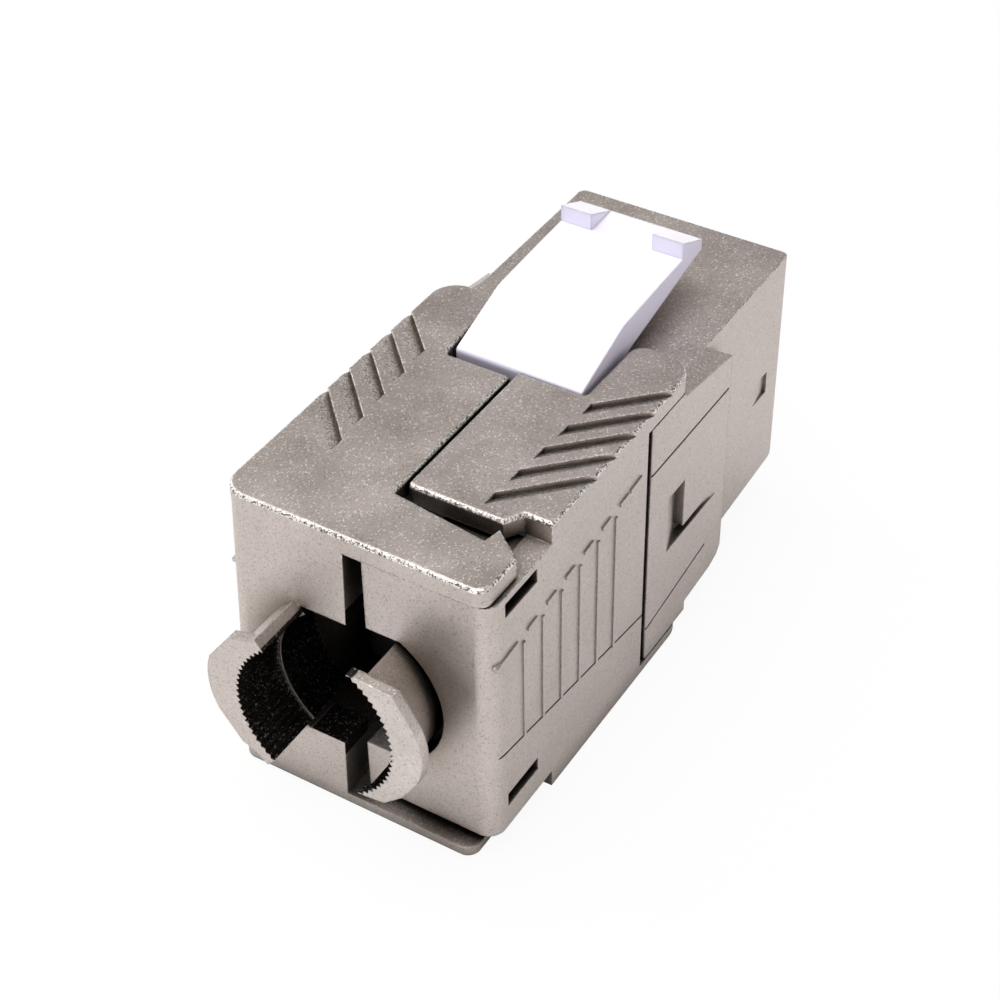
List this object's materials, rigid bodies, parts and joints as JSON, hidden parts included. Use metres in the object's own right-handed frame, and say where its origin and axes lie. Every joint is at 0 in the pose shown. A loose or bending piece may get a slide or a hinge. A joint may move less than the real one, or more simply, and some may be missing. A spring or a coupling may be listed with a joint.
{
  "type": "keystone jack",
  "caption": "Shielded modular jack in a hollow metal body: square port nose, two swinging wings that close over the wires, round toothed cable clamp, white release latch",
  "frame": {"origin": "middle of the footprint, at the height of the wings' underside, which the jack stands on", "axes": "+Y is the end with the plug socket, -Y the cable end, +Z the latch side, +X to the right when looking from the cable end towards the socket"},
  "size_m": [0.017, 0.0408, 0.0232],
  "materials": {
    "cast_zinc": "satin nickel plate over die-cast zinc",
    "white_plastic": "smooth white moulding",
    "black_plastic": "black moulding",
    "board": "green solder mask",
    "gold_contact": "gold plated spring wire",
    "tin_bronze": "tin plated blade",
    "pin_steel": "drawn steel pin",
    "spring_steel": "thin spring strip"
  },
  "bodies": {
    "housing": {"main_housing": "cast_zinc", "latch_pin": "pin_steel", "hinge_pin_left": "pin_steel", "hinge_pin_right": "pin_steel", "port_insert": "black_plastic", "jack_contact_1": "gold_contact", "jack_contact_2": "gold_contact", "jack_contact_3": "gold_contact", "jack_contact_4": "gold_contact", "jack_contact_5": "gold_contact", "jack_contact_6": "gold_contact", "jack_contact_7": "gold_contact", "jack_contact_8": "gold_contact", "circuit_board": "board", "idc_block": "black_plastic", "idc_contact_1": "tin_bronze", "idc_contact_2": "tin_bronze", "idc_contact_3": "tin_bronze", "idc_contact_4": "tin_bronze", "idc_contact_5": "tin_bronze", "idc_contact_6": "tin_bronze", "idc_contact_7": "tin_bronze", "idc_contact_8": "tin_bronze", "shield_spring_left": "spring_steel", "shield_spring_right": "spring_steel"},
    "left_wing": {"left_wing": "cast_zinc"},
    "right_wing": {"right_wing": "cast_zinc"},
    "jaw": {"clamp_jaw": "cast_zinc"},
    "latch": {"release_latch": "white_plastic"},
    "cap": {"wire_cap": "black_plastic"}
  },
  "joints": [
    {"name": "left_wing_swing", "type": "hinge", "parent": "housing", "child": "left_wing", "pos_m": [-0.0066, 0.0042, 0.01], "axis": [0, 0, -1], "range_deg": [0, 95]},
    {"name": "right_wing_swing", "type": "hinge", "parent": "housing", "child": "right_wing", "pos_m": [0.0066, 0.0042, 0.01], "axis": [0, 0, 1], "range_deg": [0, 95]},
    {"name": "latch_press", "type": "hinge", "parent": "housing", "child": "latch", "pos_m": [0, 0.0022, 0.01773], "axis": [-1, 0, 0], "range_deg": [0, 8], "stiffness_Nm_per_rad": 0.3, "springref_deg": -2.86},
    {"name": "jaw_slide", "type": "slide", "parent": "right_wing", "child": "jaw", "axis": [1, 0, 0], "range_m": [-0.002, 0.0004]},
    {"name": "cap_slide", "type": "slide", "parent": "housing", "child": "cap", "axis": [0, -1, 0], "range_m": [0, 0.003]}
  ],
  "couplings": [
    {"joint": "right_wing_swing", "follows": "left_wing_swing", "ratio": 1}
  ]
}
